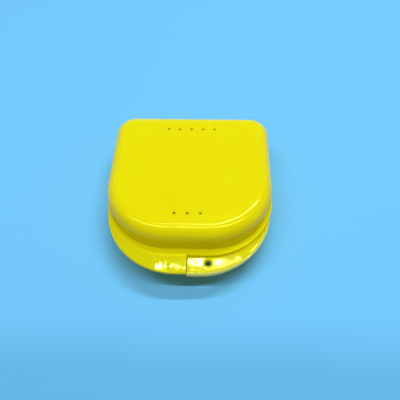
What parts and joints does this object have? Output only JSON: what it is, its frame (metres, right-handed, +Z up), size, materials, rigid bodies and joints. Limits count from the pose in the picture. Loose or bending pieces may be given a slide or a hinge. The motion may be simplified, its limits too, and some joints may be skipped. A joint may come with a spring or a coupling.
{
  "type": "orthodontic retainer case",
  "caption": "Flat D-shaped plastic case: a lid and a base joined by a snap-in hinge at the flat back, with vent holes, staggered opening tabs at the front and a lanyard hole.",
  "frame": {"origin": "middle of the closed case's bounding box in plan, on the underside of the base", "axes": "+X across the width to the right as seen from the tabs, +Y to the hinge at the back, +Z up through the lid"},
  "size_m": [0.0808, 0.0914, 0.027],
  "materials": {
    "base_plastic": "glossy moulded yellow polypropylene",
    "lid_plastic": "glossy moulded yellow polypropylene"
  },
  "bodies": {
    "base": {"base": "base_plastic"},
    "lid": {"lid": "lid_plastic"}
  },
  "joints": [
    {"name": "lid_hinge", "type": "hinge", "parent": "base", "child": "lid", "pos_m": [0, 0.0431, 0.0136], "axis": [-1, 0, 0], "range_deg": [0, 180]}
  ]
}
